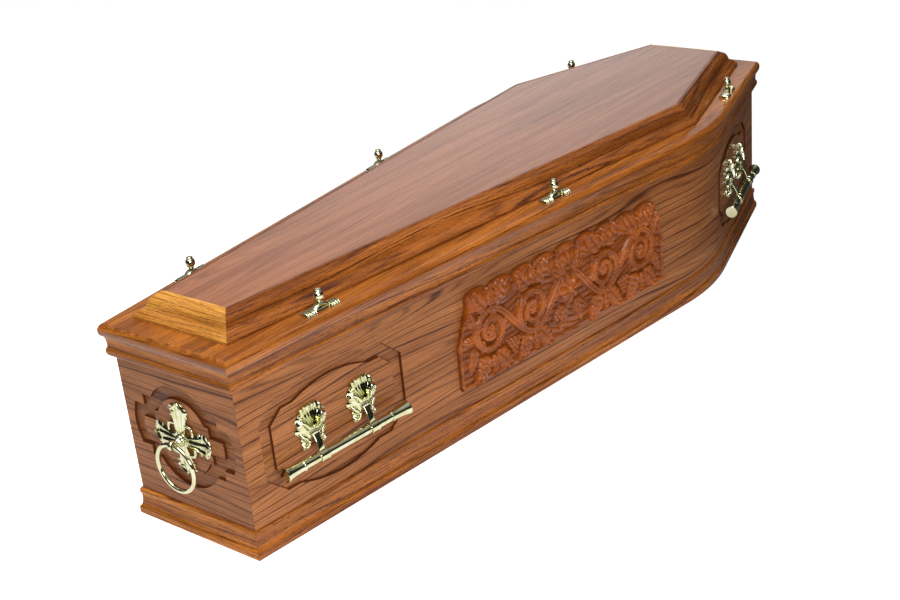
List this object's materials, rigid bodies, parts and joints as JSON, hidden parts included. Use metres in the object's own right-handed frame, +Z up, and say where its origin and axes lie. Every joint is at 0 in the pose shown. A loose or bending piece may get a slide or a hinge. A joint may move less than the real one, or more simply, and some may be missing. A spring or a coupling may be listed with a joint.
{
  "type": "wooden coffin",
  "caption": "Tapered oak-veneered coffin with a raised lid, carved foliage side panels, swinging bar handles, end rings and lid screws.",
  "frame": {"origin": "on the floor under the middle of the coffin's length and width", "axes": "+X towards the head end, +Y towards the left side, +Z up"},
  "size_m": [2.009, 0.6396, 0.456],
  "materials": {
    "oak_veneer": "gloss varnish",
    "oak_panel": "gloss varnish",
    "oak_moulding": "gloss varnish",
    "carved_oak": "gloss varnish",
    "pale_brass": "polished"
  },
  "bodies": {
    "coffin": {"base_board": "oak_veneer", "foot_board": "oak_veneer", "head_board": "oak_veneer", "side_board_left": "oak_veneer", "side_board_right": "oak_veneer", "plinth_foot": "oak_moulding", "plinth_head": "oak_moulding", "plinth_left": "oak_moulding", "plinth_right": "oak_moulding", "top_moulding_foot": "oak_moulding", "top_moulding_head": "oak_moulding", "top_moulding_left": "oak_moulding", "top_moulding_right": "oak_moulding", "lid_board": "oak_moulding", "lid_frame_foot": "oak_moulding", "lid_frame_head": "oak_moulding", "lid_frame_long_left": "oak_moulding", "lid_frame_long_right": "oak_moulding", "lid_frame_short_left": "oak_moulding", "lid_frame_short_right": "oak_moulding", "lid_panel": "oak_panel", "relief_left": "carved_oak", "relief_right": "carved_oak", "screw_base_foot_left": "pale_brass", "thumb_screw_foot_left": "pale_brass", "screw_base_foot_right": "pale_brass", "thumb_screw_foot_right": "pale_brass", "screw_base_middle_left": "pale_brass", "thumb_screw_middle_left": "pale_brass", "screw_base_middle_right": "pale_brass", "thumb_screw_middle_right": "pale_brass", "screw_base_head_left": "pale_brass", "thumb_screw_head_left": "pale_brass", "screw_base_head_right": "pale_brass", "thumb_screw_head_right": "pale_brass", "leaf_plate_foot_left_1": "pale_brass", "leaf_plate_foot_left_2": "pale_brass", "leaf_plate_foot_right_1": "pale_brass", "leaf_plate_foot_right_2": "pale_brass", "leaf_plate_head_left_1": "pale_brass", "leaf_plate_head_left_2": "pale_brass", "leaf_plate_head_right_1": "pale_brass", "leaf_plate_head_right_2": "pale_brass", "ring_plate_foot": "pale_brass", "ring_plate_head": "pale_brass"},
    "foot_left_handle": {"arm_foot_left_1": "pale_brass", "arm_foot_left_2": "pale_brass", "bar_foot_left": "pale_brass"},
    "foot_right_handle": {"arm_foot_right_1": "pale_brass", "arm_foot_right_2": "pale_brass", "bar_foot_right": "pale_brass"},
    "head_left_handle": {"arm_head_left_1": "pale_brass", "arm_head_left_2": "pale_brass", "bar_head_left": "pale_brass"},
    "head_right_handle": {"arm_head_right_1": "pale_brass", "arm_head_right_2": "pale_brass", "bar_head_right": "pale_brass"},
    "foot_ring": {"ring_foot": "pale_brass"},
    "head_ring": {"ring_head": "pale_brass"}
  },
  "joints": [
    {"name": "foot_left_handle_lift", "type": "hinge", "parent": "coffin", "child": "foot_left_handle", "pos_m": [-0.74799, 0.18859, 0.195], "axis": [0.9939, 0.11, 0], "range_deg": [0, 90]},
    {"name": "foot_right_handle_lift", "type": "hinge", "parent": "coffin", "child": "foot_right_handle", "pos_m": [-0.74799, -0.18859, 0.195], "axis": [-0.9939, 0.11, 0], "range_deg": [0, 90]},
    {"name": "head_left_handle_lift", "type": "hinge", "parent": "coffin", "child": "head_left_handle", "pos_m": [0.71183, 0.24461, 0.195], "axis": [0.9581, -0.2863, 0], "range_deg": [0, 90]},
    {"name": "head_right_handle_lift", "type": "hinge", "parent": "coffin", "child": "head_right_handle", "pos_m": [0.71183, -0.24461, 0.195], "axis": [-0.9581, -0.2863, 0], "range_deg": [0, 90]},
    {"name": "foot_ring_swing", "type": "hinge", "parent": "coffin", "child": "foot_ring", "pos_m": [-0.995, 0, 0.208], "axis": [0, 1, 0], "range_deg": [-14, 180]},
    {"name": "head_ring_swing", "type": "hinge", "parent": "coffin", "child": "head_ring", "pos_m": [0.995, 0, 0.208], "axis": [0, -1, 0], "range_deg": [-14, 180]}
  ]
}
